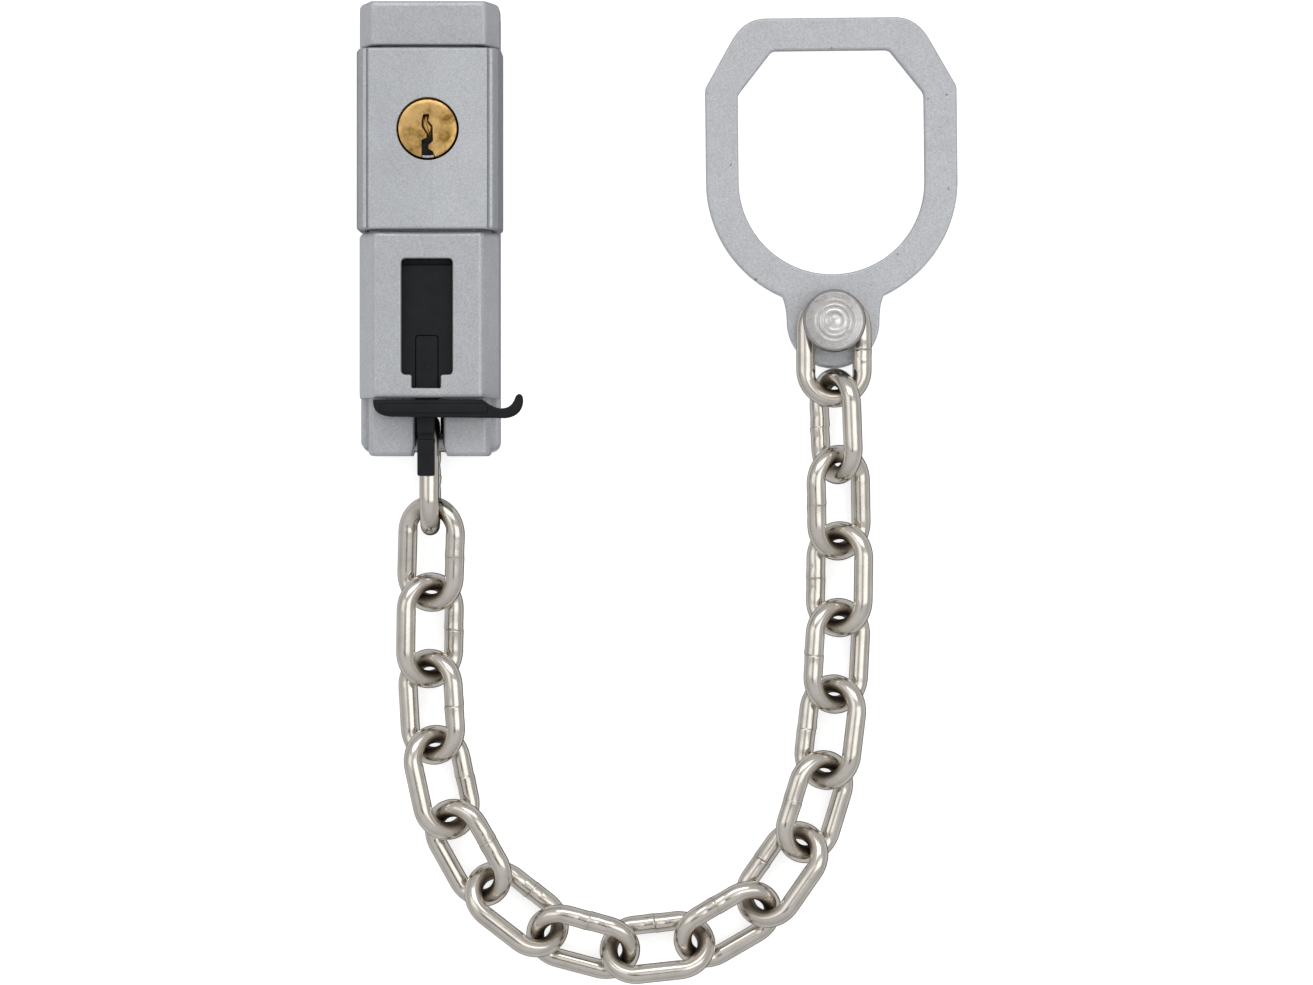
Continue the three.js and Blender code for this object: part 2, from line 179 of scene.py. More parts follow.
class Shader:
    """A material with one principled shader and short calls for the textures that feed it."""

    def __init__(self, name):
        self.material = bpy.data.materials.new(name)
        self.material.use_nodes = True
        self.tree = self.material.node_tree
        self.shader = self.tree.nodes["Principled BSDF"]
        self.place = self.add("ShaderNodeTexCoord").outputs["Object"]

    def add(self, kind, **settings):
        node = self.tree.nodes.new(kind)
        for key, value in settings.items():
            setattr(node, key, value)
        return node

    def link(self, source, target):
        self.tree.links.new(source, target)

    def set(self, base=None, roughness=None, metallic=None, specular=None):
        values = {"Base Color": base and (*base, 1), "Roughness": roughness, "Metallic": metallic,
                  "Specular IOR Level": specular}
        for socket, value in values.items():
            if value is not None:
                self.shader.inputs[socket].default_value = value

    def noise(self, scale, detail=2.0, roughness=0.5, stretch=None):
        node = self.add("ShaderNodeTexNoise")
        node.inputs["Scale"].default_value = scale
        node.inputs["Detail"].default_value = detail
        node.inputs["Roughness"].default_value = roughness
        if stretch:
            mapping = self.add("ShaderNodeMapping")
            mapping.inputs["Scale"].default_value = stretch
            self.link(self.place, mapping.inputs["Vector"])
            self.link(mapping.outputs["Vector"], node.inputs["Vector"])
        else:
            self.link(self.place, node.inputs["Vector"])
        return node.outputs["Fac"]

    def cells(self, scale):
        """A random colour for every cell."""
        node = self.add("ShaderNodeTexVoronoi")
        node.inputs["Scale"].default_value = scale
        self.link(self.place, node.inputs["Vector"])
        return node.outputs["Color"]

    def ramp(self, source, *stops):
        """Stops are (position, colour) pairs, where a colour is a grey level or three numbers."""
        node = self.add("ShaderNodeValToRGB")
        elements = node.color_ramp.elements
        while len(elements) < len(stops):
            elements.new(0.5)
        for element, (position, colour) in zip(elements, stops):
            grey = (colour,) * 3 if isinstance(colour, (int, float)) else colour
            element.position = position
            element.color = (*grey, 1)
        self.link(source, node.inputs["Fac"])
        return node.outputs["Color"]

    def mix(self, first, second, blend="MULTIPLY"):
        """Two colours multiplied or added; each is a socket or three numbers."""
        node = self.add("ShaderNodeMix", data_type="RGBA", blend_type=blend)
        node.inputs[MIX_FACTOR].default_value = 1.0
        for value, socket in ((first, MIX_FIRST), (second, MIX_SECOND)):
            if isinstance(value, bpy.types.NodeSocket):
                self.link(value, node.inputs[socket])
            else:
                node.inputs[socket].default_value = (*value, 1)
        return node.outputs[MIX_RESULT]

    def feed(self, socket, source):
        self.link(source, self.shader.inputs[socket])

    def bump(self, *layers):
        """Layers are (height source, depth in millimetres), laid one over another."""
        normal = None
        for source, depth in layers:
            node = self.add("ShaderNodeBump")
            node.inputs["Strength"].default_value = 1.0
            node.inputs["Distance"].default_value = depth * MM
            self.link(source, node.inputs["Height"])
            if normal:
                self.link(normal, node.inputs["Normal"])
            normal = node.outputs["Normal"]
        self.feed("Normal", normal)


def silver_paint(name, base, grain, specks=0.0, side=1.0):
    """Sparkle lacquer on a casting: mottled, with bright and dark flakes.

    The grain is the depth of its bumps in millimetres, specks is how much of it is pitted dark, and side is
    how bright the flanks are beside the face: below 1 the flanks are darkened by their normal as painted
    shade.
    """
    make = Shader(name)
    make.set(roughness=0.42, metallic=0.42, specular=0.5)
    mottle = make.ramp(make.noise(3100, 3, 0.6), (0.32, 0.87), (0.68, 1.11))
    cloud = make.ramp(make.noise(160, 2, 0.5), (0.3, 0.965), (0.7, 1.02))
    flakes = make.ramp(make.cells(5600), (0.1, 0.84), (0.5, 1.0), (0.93, 1.04), (1.0, 1.5))
    colour = make.mix(make.mix(make.mix(base, mottle), cloud), flakes)
    if specks:
        colour = make.mix(colour, make.ramp(make.noise(760, 1, 0.4), (specks, 0.45), (specks + 0.03, 1.0)))
    # painted shade: the flanks, told by the Z of the object-space normal, are darkened towards side
    if side < 1:
        parts = make.add("ShaderNodeSeparateXYZ")
        make.link(make.add("ShaderNodeTexCoord").outputs["Normal"], parts.inputs["Vector"])
        colour = make.mix(colour, make.ramp(parts.outputs["Z"], (0.55, side), (0.97, 1.0)))
    make.feed("Base Color", colour)
    make.feed("Roughness", make.ramp(make.noise(1500, 2), (0.3, 0.3), (0.7, 0.46)))
    make.bump((make.noise(1700, 2, 0.6), grain), (make.noise(420, 2, 0.5), grain * 0.8))
    return make.material


def nickel_wire():
    """Warm nickel plating on drawn wire, darker and rougher at the welds and where links rub; where they rub
    the dark is part grime, part painted shade.
    """
    make = Shader("nickel_wire")
    make.set(metallic=1.0)
    tone = make.ramp(make.noise(210, 3, 0.55), (0.3, (0.60, 0.56, 0.505)), (0.7, (0.72, 0.68, 0.62)))
    specks = make.ramp(make.noise(1700, 2, 0.6), (0.2, 0.6), (0.3, 1.0))
    weld = make.add("ShaderNodeAttribute", attribute_name="weld").outputs["Fac"]
    plated = make.mix(tone, specks)
    rub_and_shade = make.add("ShaderNodeAttribute", attribute_name="rub_and_shade").outputs["Fac"]
    # darker inside the bows where links touch: partly grime, partly painted shade of the contact
    grime_and_contact_shade = make.ramp(rub_and_shade, (0.0, 1.0), (0.45, (0.72, 0.69, 0.66)), (1.0, (0.25, 0.215, 0.185)))
    scale = make.ramp(weld, (0.0, 1.0), (1.0, (0.52, 0.49, 0.45)))
    make.feed("Base Color", make.mix(make.mix(plated, grime_and_contact_shade), scale))
    wear = make.ramp(make.noise(500, 3, 0.6), (0.3, 0.1), (0.75, 0.22))
    dull_weld, dull_rub = make.ramp(weld, (0.0, 0.0), (1.0, 0.2)), make.ramp(rub_and_shade, (0.0, 0.0), (1.0, 0.25))
    dull = make.mix(dull_weld, dull_rub, "ADD")
    make.feed("Roughness", make.mix(wear, dull, "ADD"))
    make.bump((make.noise(240, 2, 0.5), 0.016), (make.noise(1100, 2, 0.5), 0.001))
    return make.material


def turned_steel(centre, radius):
    """Lathe-turned steel: fine rings about a centre, with a painted highlight in the middle and painted
    shade on the rim.
    """
    make = Shader("turned_steel")
    make.set(metallic=1.0, roughness=0.34)
    shift = make.add("ShaderNodeMapping")
    shift.inputs["Location"].default_value = (-centre[0] * MM, -centre[1] * MM, 0)
    make.link(make.place, shift.inputs["Vector"])
    rings = make.add("ShaderNodeTexWave", wave_type="RINGS", rings_direction="Z")
    rings.inputs["Scale"].default_value = 900
    rings.inputs["Distortion"].default_value = 0.6
    rings.inputs["Detail"].default_value = 2
    make.link(shift.outputs["Vector"], rings.inputs["Vector"])
    blotch = make.ramp(make.noise(900, 3, 0.6), (0.3, 0.86), (0.7, 1.05))
    tone = make.ramp(rings.outputs["Fac"], (0.0, 0.93), (1.0, 1.03))
    flat = make.add("ShaderNodeVectorMath", operation="MULTIPLY")
    flat.inputs[1].default_value = (1 / (radius * MM), 1 / (radius * MM), 0)
    make.link(shift.outputs["Vector"], flat.inputs[0])
    reach = make.add("ShaderNodeVectorMath", operation="LENGTH")
    make.link(flat.outputs["Vector"], reach.inputs[0])
    # painted highlight in the middle and on the smallest raised ring, painted shade on the rim
    painted_highlight_and_rim_shade = make.ramp(reach.outputs["Value"], (0.0, 1.35), (0.14, 1.5), (0.18, 1.2), (0.25, 1.05),
                      (0.31, 1.35), (0.42, 1.04), (0.8, 1.0), (0.875, 0.96), (0.9, 0.52), (1.0, 0.4))
    steel = make.mix((0.52, 0.505, 0.495), blotch)
    make.feed("Base Color", make.mix(make.mix(steel, tone), painted_highlight_and_rim_shade))
    make.feed("Roughness", make.ramp(make.noise(500, 2), (0.3, 0.2), (0.7, 0.34)))
    make.bump((rings.outputs["Fac"], 0.01), (make.noise(1800, 3, 0.6), 0.012))
    return make.material


def plain_steel():
    """Rolled and zinc-plated sheet: a faint grain along the sheet and cloudy plating."""
    make = Shader("plain_steel")
    make.set(metallic=1.0)
    grain = make.ramp(make.noise(500, 3, 0.6, stretch=(6, 0.5, 1)), (0.3, 0.9), (0.7, 1.05))
    cloud = make.ramp(make.noise(70, 3, 0.6), (0.3, (0.42, 0.43, 0.44)), (0.7, (0.52, 0.52, 0.52)))
    make.feed("Base Color", make.mix(cloud, grain))
    make.feed("Roughness", make.ramp(make.noise(180, 2), (0.3, 0.32), (0.7, 0.48)))
    make.bump((make.noise(600, 2, 0.5, stretch=(5, 0.5, 1)), 0.006))
    return make.material


def brass():
    """Brass with a handled face: warm patches, small pits and a fine turned grain."""
    make = Shader("brass")
    make.set(metallic=1.0)
    patches = make.ramp(make.noise(330, 4, 0.65), (0.36, (0.27, 0.15, 0.035)), (0.48, (0.53, 0.33, 0.115)),
                        (0.64, (0.72, 0.47, 0.19)))
    pits = make.ramp(make.noise(1500, 2, 0.5), (0.22, 0.45), (0.33, 1.0))
    make.feed("Base Color", make.mix(patches, pits))
    make.feed("Roughness", make.ramp(make.noise(420, 3), (0.3, 0.24), (0.7, 0.42)))
    make.bump((make.noise(520, 3, 0.6), 0.02), (make.noise(2400, 2, 0.5), 0.004))
    return make.material


def black_plastic():
    """Satin moulded plastic with a fine spark-eroded texture."""
    make = Shader("black_plastic")
    make.set(metallic=0.0, specular=0.2)
    tone = make.ramp(make.noise(380, 2, 0.5),
                     (0.3, (0.0065, 0.0075, 0.0085)), (0.7, (0.0105, 0.0115, 0.0125)))
    make.feed("Base Color", tone)
    make.feed("Roughness", make.ramp(make.noise(900, 2), (0.3, 0.38), (0.7, 0.5)))
    make.bump((make.noise(3200, 2, 0.6), 0.006), (make.noise(300, 2, 0.5), 0.01))
    return make.material


def keyway_shade_steel():
    """The steel deep in the keyway, painted nearly black as painted shade of the narrow keyway."""
    make = Shader("keyway_shade_steel")
    make.set(metallic=0.6, specular=0.3)
    # painted shade: the steel in the keyway is nearly black
    painted_keyway_shade = make.ramp(make.noise(1300, 3, 0.6), (0.35, (0.006, 0.006, 0.006)), (0.75, (0.03, 0.027, 0.022)))
    make.feed("Base Color", painted_keyway_shade)
    make.feed("Roughness", make.ramp(make.noise(900, 2), (0.3, 0.4), (0.7, 0.6)))
    make.bump((make.noise(1900, 2), 0.01))
    return make.material


def spring_steel():
    """Blued spring wire."""
    make = Shader("spring_steel")
    make.set(metallic=1.0)
    tone = make.ramp(make.noise(700, 3, 0.6), (0.3, (0.14, 0.15, 0.17)), (0.7, (0.30, 0.31, 0.33)))
    make.feed("Base Color", tone)
    make.feed("Roughness", make.ramp(make.noise(1200, 2), (0.3, 0.25), (0.7, 0.42)))
    make.bump((make.noise(2600, 2), 0.004))
    return make.material


# ---------------------------------------------------------------- shape helpers, in millimetres
def arc(x, y, radius, start, end, steps=12):
    """Points of a circular arc; the angles are in degrees."""
    angles = [math.radians(start + (end - start) * k / steps) for k in range(steps + 1)]
    return [(x + radius * math.cos(a), y + radius * math.sin(a)) for a in angles]


def curve(start, pull, end, steps=6):
    """Points of a quadratic curve after its first."""
    points = []
    for k in range(1, steps + 1):
        t = k / steps
        weights = ((1 - t) ** 2, 2 * t * (1 - t), t * t)
        points.append(tuple(sum(w * p[i] for w, p in zip(weights, (start, pull, end))) for i in (0, 1)))
    return points


def rounded(corners, steps=5):
    """An outline whose corners, given as (x, y, radius), are rounded."""
    outline = []
    for k, (x, y, radius) in enumerate(corners):
        here = Vector((x, y))
        back = Vector(corners[k - 1][:2]) - here
        on = Vector(corners[(k + 1) % len(corners)][:2]) - here
        if radius <= 0:
            outline.append((x, y))
            continue
        half = back.angle(on) / 2
        reach = min(radius / math.tan(half), 0.48 * back.length, 0.48 * on.length)
        start, end = here + back.normalized() * reach, here + on.normalized() * reach
        outline += [tuple(start)] + curve(start, here, end, steps)
    return outline


def rectangle(left, right, bottom, top, radius, steps=6):
    """The outline of a rectangle with rounded corners."""
    corners = [(left, bottom, radius), (right, bottom, radius), (right, top, radius), (left, top, radius)]
    return rounded(corners, steps)


def clean(outline):
    """The outline without repeated points, anticlockwise."""
    points = [p for k, p in enumerate(outline) if (Vector(p) - Vector(outline[k - 1])).length > 1e-4]
    area = sum(a[0] * b[1] - b[0] * a[1] for a, b in zip(points, points[1:] + points[:1]))
    return points if area > 0 else points[::-1]


def grown(outline, distance):
    """The outline moved outwards by this distance at every point."""
    moved = []
    for k, point in enumerate(outline):
        here = Vector(point)
        first = (here - Vector(outline[k - 1])).normalized()
        second = (Vector(outline[(k + 1) % len(outline)]) - here).normalized()
        normals = [Vector((side.y, -side.x)) for side in (first, second)]
        middle = (normals[0] + normals[1]).normalized()
        moved.append(tuple(here + middle * distance / max(middle.dot(normals[0]), 0.5)))
    return moved


def object_of(vertices, faces):
    """A new object of these points and faces, with its faces turned outwards."""
    mesh = bpy.data.meshes.new("solid")
    mesh.from_pydata([Vector(v) * MM for v in vertices], [], faces)
    mesh.validate()
    made = bpy.data.objects.new("solid", mesh)
    bpy.context.collection.objects.link(made)
    bm = bmesh.new()
    bm.from_mesh(mesh)
    bmesh.ops.recalc_face_normals(bm, faces=bm.faces)
    bm.to_mesh(mesh)
    bm.free()
    return made


def stacked(loops, closed=False):
    """A solid through loops of equally many points; its ends are capped unless it closes on itself."""
    count = len(loops[0])
    vertices = [point for loop in loops for point in loop]
    faces = []
    for level in range(len(loops) - (0 if closed else 1)):
        low, high = level * count, (level + 1) % len(loops) * count
        for k in range(count):
            nxt = (k + 1) % count
            faces.append((low + k, low + nxt, high + nxt, high + k))
    if not closed:
        faces += [tuple(range(count))[::-1], tuple(range((len(loops) - 1) * count, len(loops) * count))]
    return object_of(vertices, faces)


def plate(outline, *levels):
    """A flat piece; levels are (how far the outline is grown, height) pairs from back to front."""
    outline = clean(outline)
    return stacked([[(x, y, z) for x, y in grown(outline, grow)] for grow, z in levels])


def soft_plate(outline, back, front, edge, back_edge=0.15):
    """A flat piece whose front edge is rounded by edge and whose back edge is broken by back_edge."""
    turn = [math.radians(a) for a in (0, 22, 45, 68, 90)]
    rim = [(-edge * (1 - math.cos(a)), front - edge * (1 - math.sin(a))) for a in turn]
    return plate(outline, (-back_edge, back), (0, back + back_edge), *rim)


def opening(outline, back, front, edge):
    """A cutter through a face at height front that leaves its rim rounded by edge."""
    turn = [math.radians(a) for a in (0, 30, 60, 90)]
    rim = [(edge * (1 - math.cos(a)), front - edge * (1 - math.sin(a))) for a in turn]
    return plate(outline, (0, back), *rim, (edge + 0.02, front + 0.6))


FLANK_POWER = 8  # keeps the rounding of an end to the outermost part of its outline


def casting(outline, y0, y1, back, low_end, high_end):
    """A length of casting along Y with an (x, z) outline that starts at height back.

    Each end is given as (the radius that rounds its flanks, the radius that rounds its face).
    """
    wide = max(abs(x) for x, _ in outline)
    tall = max(z for _, z in outline) - back
    turn = [math.radians(a) for a in (0, 15, 30, 50, 70, 90)]
    loops = []

    def add_loop(side, face, y):
        loop = []
        for x, z in clean(outline):
            across = 1 - side / wide * (abs(x) / wide) ** FLANK_POWER
            loop.append((x * across, y, back + (z - back) * (1 - face / tall)))
        loops.append(loop)

    for a in turn:
        add_loop(*(r * (1 - math.sin(a)) for r in low_end), y0 + max(low_end) * (1 - math.cos(a)))
    for a in turn:
        add_loop(*(r * (1 - math.cos(a)) for r in high_end), y1 - max(high_end) * (1 - math.sin(a)))
    return stacked(loops)


def block(x0, x1, y0, y1, z0, z1):
    """A box with sharp edges."""
    return plate([(x0, y0), (x1, y0), (x1, y1), (x0, y1)], (0, z0), (0, z1))


def lathe(profile, x, y, segments=96):
    """A solid of (radius, height) pairs from its lower to its upper middle, turned about a line along Z."""
    loops = []
    for radius, z in profile:
        angles = [2 * math.pi * k / segments for k in range(segments)]
        loops.append([(x + radius * math.cos(a), y + radius * math.sin(a), z) for a in angles])
    return stacked(loops)


def settled(obj):
    """Applies the modifiers of an object."""
    evaluated = obj.evaluated_get(bpy.context.evaluated_depsgraph_get())
    mesh = bpy.data.meshes.new_from_object(evaluated)
    obj.modifiers.clear()
    obj.data = mesh
    return obj


def carved(obj, *cutters):
    """Cuts every cutter out of the object and removes the cutters."""
    for cutter in cutters:
        cut = obj.modifiers.new("cut", "BOOLEAN")
        cut.operation = "DIFFERENCE"
        cut.solver = "EXACT"
        cut.object = cutter
        settled(obj)
        bpy.data.objects.remove(cutter)
    return obj


def moved(obj, x, y, z=0, degrees=0, axis="Z"):
    """Turns a shape about an axis through its own origin and then moves it."""
    turn = Matrix.Rotation(math.radians(degrees), 4, axis)
    obj.data.transform(Matrix.Translation(Vector((x, y, z)) * MM) @ turn)
    return obj


def piece(obj, name, body, slot, material, *nodes, sharp=32):
    """Names, paints and shades a shape and sets it riding on its body in place of its CAD nodes."""
    obj.name = obj.data.name = name
    obj.data.materials.clear()
    obj.data.materials.append(material)
    obj.data.polygons.foreach_set("use_smooth", [True] * len(obj.data.polygons))
    obj.data.set_sharp_from_angle(angle=math.radians(sharp))
    weighted = obj.modifiers.new("weighted_normals", "WEIGHTED_NORMAL")
    weighted.keep_sharp = True
    settled(obj)
    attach(obj, body)
    if nodes:
        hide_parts(*nodes)
    return obj


# ---------------------------------------------------------------- housing
BACK = 1.8  # where the castings start, in front of the base plate
CAP_SCREW = (0, 41.5)
FOOT_SCREWS = ((-8.5, -38.6), (8.5, -38.6))
CAP_FACE, NECK_FACE, BOX_FACE, FOOT_FACE, SKIRT_FACE, SLEEVE_FACE = 19.5, 16.5, 20.5, 14.0, 8.0, 22.0
PLUG_FACE = 21.95
LOCK_HOLE_RADIUS = 6.34
SHARP_END = (0.01, 0.01)  # the smallest rounding that keeps the rings of points at an end apart


def section(width, face, flank_top, front, edge=0.9, shoulder=1.6, crown=0.0):
    """The outline of a casting: upright flanks that lean in above flank_top to a face at height front."""
    half, side = width / 2, face / 2
    right = [(half, BACK, 0), (half, flank_top, shoulder), (side, front - crown, edge)]
    if crown:
        right.append((1.2, front, 1.0))
    return rounded(right + mirrored(right))


def mirrored(corners):
    """The same corners across the middle, in the order that goes on round the outline."""
    return [(-x, *rest) for x, *rest in reversed(corners)]


def hollow(y0, y1, corners, end):
    """A cutter for the inside of a casting, from the (x, z) corners of its right half."""
    return casting(corners + mirrored(corners), y0, y1, 1, end, end)


def lock_middle():
    """The x and y of the lock's axis."""
    low, high = box_mm("lock_cylinder_body")
    return (low.x + high.x) / 2, (low.y + high.y) / 2


def chain_slot():
    """The slot for the first link, flared at the end of the housing."""
    return [(-4.0, -47.0), (4.0, -47.0), (2.95, -44.0), (2.95, -36.3), (-2.95, -36.3), (-2.95, -44.0)]


def slider_way():
    """The room that the slider's strip and rib move in, below the box and in the foot."""
    return block(-3.1, 2.4, -37.3, -31.3, 9, 18.4)


def lock_bar_way(y0, y1):
    """The room that the lock bar moves in."""
    return block(-3.4, 3.4, y0, y1, 4.5, 7.5)


def pin_bore():
    """The bore for the anchor pin, from the left side of the foot."""
    return moved(lathe([(2.05, -14), (2.05, 10.3)], 0, 0, 40), 0, -43.2, 7.8, 90, "Y")


def screw_bore(x, y):
    """A blind hole from the back for one of the screws that hold the cover."""
    return lathe([(1.6, 1), (1.6, 9.5)], x, y, 32)


def build_cap():
    """The top cap, above the sleeve."""
    cap = casting(section(28.4, 23.2, 12, CAP_FACE), 36.98, 46.0, BACK, (0.3, 0.5), (1.2, 0.55))
    return carved(cap, screw_bore(*CAP_SCREW))


def build_neck():
    """The narrower length inside the sleeve, open in front for the lock."""
    x, y = lock_middle()
    neck = casting(section(25.0, 19.0, 9, NECK_FACE), -0.8, 37.2, BACK, (0.2, 0.2), (0.2, 0.2))
    inside = hollow(-2.6, 35.2, [(10.5, 1), (10.5, 9), (8.2, 15.0)], (0.1, 0.1))
    return carved(neck, inside, lathe([(8.8, 3), (8.8, 21)], x, y, 64))


def build_box():
    """The box round the slider, with a T-shaped window in its face."""
    box = casting(section(28.4, 22.0, 13, BOX_FACE, 1.25), -34.3, -0.72, BACK, (0.05, 1.0), (1.2, 0.6))
    inside = hollow(-32.3, -2.4, [(12.2, 1), (12.2, 12), (9.5, 18.5)], (0.3, 0.3))
    window = [(-5.4, -29.6, 1.0), (-3.3, -29.6, 0.55), (-3.3, -32.3, 0.3), (2.6, -32.3, 0.3),
              (2.6, -29.6, 0.55), (5.0, -29.6, 1.0), (5.0, -6.1, 1.0), (-5.4, -6.1, 1.0)]
    return carved(box, inside, opening(rounded(window, 6), 17, BOX_FACE, 0.38), slider_way(),
                  lock_bar_way(-37, -31.3), lock_bar_way(-3, 0))


def build_foot():
    """The low block below the box, with the slot that the first link hangs in."""
    foot = casting(section(24.8, 23.2, 12, FOOT_FACE, 0.9, 0.9), -46.0, -34.0, BACK, (0.9, 0.8), (0.1, 0.1))
    return carved(foot, opening(chain_slot(), 1, FOOT_FACE, 0.45), slider_way(), pin_bore(),
                  *(screw_bore(*place) for place in FOOT_SCREWS), lock_bar_way(-37, -33))


def build_skirt():
    """The lower rim that stands out beside the foot."""
    skirt = casting(section(28.4, 27.4, 7, SKIRT_FACE, 0.5, 0.6), -44.4, -34.0, BACK, (1.3, 0.5), SHARP_END)
    return carved(skirt, block(-11.9, 11.9, -47, -33, 0, 10))


def build_cover(paint):
    """The painted casting, as five lengths that meet end to end."""
    shapes = {"cover_cap": build_cap, "cover_neck": build_neck, "cover_box": build_box,
              "cover_foot": build_foot, "cover_skirt": build_skirt}
    for name, shape in shapes.items():
        piece(shape(), name, "housing", "silver_paint", paint, "housing_cover")


def build_slot_shade(plastic):
    """Thin black sheets beside and behind the first link in its slot: painted shade of the deep slot."""
    # black sheets on the slot walls: painted shade
    for name, side in (("slot_shade_left", -1), ("slot_shade_right", 1)):
        wall = block(*sorted((side * 2.84, side * 2.97)), -44.0, -36.35, 1.85, 13.2)
        piece(wall, name, "housing", "black_plastic", plastic, "housing_cover")
    # black strips on the slot floor: painted shade
    for name, side in (("slot_floor_shade_left", -1), ("slot_floor_shade_right", 1)):
        strip = block(*sorted((side * 1.8, side * 2.66)), -45.1, -36.35, 0.03, 0.28)
        piece(strip, name, "housing", "black_plastic", plastic)


def build_sleeve(paint):
    """The sleeve over the lock: a faintly roofed face, a fine groove down each side and curved flanks."""
    x, y = lock_middle()
    flank = [(14.75, BACK, 0), (14.75, 13.6, 2.2), (14.15, 18.6, 2.4), (13.2, 21.0, 0.7)]
    groove = [(12.5, 21.25, 0.2), (12.22, 20.85, 0.12), (11.98, 21.5, 0.3)]
    right = flank + groove + [(1.1, SLEEVE_FACE, 1.0)]
    sleeve = casting(rounded(right + mirrored(right)), -0.2, 36.42, BACK, (0.6, 0.5), (0.5, 0.45))
    inside = hollow(-1.4, 37.6, [(12.95, 1), (12.95, 12), (10.65, 20.0)], SHARP_END)
    rim = arc(x, y, LOCK_HOLE_RADIUS, 0, 360, 96)[:-1]
    carved(sleeve, inside, opening(rim, 15, SLEEVE_FACE, 0.15))
    piece(sleeve, "sleeve_shell", "housing", "silver_paint", paint, "lock_sleeve")


# The keyway, and the wards in its upper half: x and y from the lock's middle, and corner radius.
KEYWAY_FOOT = -7
KEYWAY = [(-0.9, 2.9, 0.15), (-1.2, 1.6, 0.4), (-1.2, 0.4, 0.3), (-0.2, -1.1, 0.2), (-0.2, -1.8, 0.2),
          (-1.2, -2.3, 0.15), (-1.2, KEYWAY_FOOT, 0), (1.5, KEYWAY_FOOT, 0), (1.5, -5.6, 0.3),
          (1.0, -4.5, 0.25), (0.2, -4.1, 0.2), (0.1, -3.4, 0.2), (1.1, -2.5, 0.2), (1.0, 0.6, 0.2),
          (0.1, 1.6, 0.2), (0.4, 2.9, 0.15)]
WARDS = [(-1.15, 1.9, 0.3), (-1.15, 0.5, 0.3), (-0.15, -1.1, 0.2), (0.55, -1.5, 0.2), (0.95, 0.5, 0.2),
         (0.15, 1.5, 0.2), (0.35, 2.8, 0.1), (-0.75, 2.8, 0.1)]


def build_plug(x, y):
    """The plug: a tail, a barrel and a faintly turned face, with the keyway cut through its rim."""
    profile = [(2.4, 3.4), (2.4, 8.6), (5.85, 8.6), (5.93, 8.7),
               (5.93, PLUG_FACE - 0.24), (5.87, PLUG_FACE - 0.08), (5.72, PLUG_FACE)]
    profile += [(radius, PLUG_FACE - 0.012 * math.sin(radius * 2.1)) for radius in (4.6, 3.4, 2.2, 1.0)]
    outline = [(x + a, y + b) for a, b in rounded(KEYWAY, 3)]
    return carved(lathe(profile, x, y), opening(outline, 10, PLUG_FACE, 0.07))


def build_lock(metal, lip_metal, dark_metal):
    """The plug and what can be seen in and below its keyway."""
    x, y = lock_middle()
    piece(build_plug(x, y), "plug_disc", "key_plug", "brass", metal, "lock_plug")
    inside = [(a, b if b > KEYWAY_FOOT else -5.7, radius) for a, b, radius in KEYWAY]
    # the pins fill the keyway 1.3 mm below the face and take the nearly black steel as painted shade
    pins = plate(grown(clean(rounded(inside, 3)), 0.05), (0, 9.9), (0, PLUG_FACE - 1.3))
    piece(moved(pins, x, y), "keyway_pins", "key_plug", "plain_steel", dark_metal, "lock_plug")
    wards = plate(rounded(WARDS, 3), (0.1, 10.2), (-0.15, PLUG_FACE - 1.25), (-0.35, PLUG_FACE - 1.1))
    piece(moved(wards, x, y), "keyway_wards", "key_plug", "brass", metal)
    span = arc(x, y, 5.4, 258, 283.5, 8) + arc(x, y, 5.9, 283, 258.5, 8)
    piece(soft_plate(span, 19, 21.45, 0.1, 0.05), "keyway_lip", "key_plug", "nickel_steel", lip_metal)


# ---------------------------------------------------------------- release slider
PANEL_FACE = 18.0
MARK_PLACE = (-0.1, -28.0)
TONGUE_MIDDLE = -0.5


def build_liner(plastic):
    """The panel behind the window, with a channel for the slider's strip and a step under the top edge."""
    panel = soft_plate(rectangle(-7.8, 7.8, -32.15, -5.0, 0.5), 14, PANEL_FACE, 0.2)
    channel = opening(rectangle(-2.62, 2.02, -34, -21.58, 0.75), 15.7, PANEL_FACE, 0.1)
    step = opening(rectangle(-7.0, 7.0, -7.3, -3, 0.4), 16.6, PANEL_FACE, 0.25)
    rib_notch = block(-1.9, 0.9, -33, -30.8, 13, 17)
    carved(panel, channel, step, rib_notch)
    piece(panel, "window_panel", "housing", "black_plastic", plastic, "window_liner")


def hook_outline():
    """The bar's outline from above: a straight top, a bowed left end and a finger hook at the right."""
    outline = [(-11.1, -34.65), (-11.1, -35.3)]
    outline += curve((-11.1, -35.3), (-10.9, -38.1), (-7.1, -38.1), 10) + [(15.6, -38.4)]
    outline += curve((15.6, -38.4), (19.0, -38.0), (19.2, -34.9), 10)
    outline += curve((19.2, -34.9), (19.2, -33.7), (18.6, -33.5), 6)
    outline += curve((18.6, -33.5), (17.9, -33.5), (17.6, -34.3), 6)
    outline += curve((17.6, -34.3), (16.9, -36.6), (14.4, -36.4), 10)
    return outline + curve((14.4, -36.4), (12.6, -36.0), (11.1, -34.65), 8)


def tongue_plate(half, low, high, corner, back, front, edge, back_edge=0.15):
    """A flat piece about the tongue's middle line."""
    outline = rectangle(TONGUE_MIDDLE - half, TONGUE_MIDDLE + half, low, high, corner)
    return soft_plate(outline, back, front, edge, back_edge)


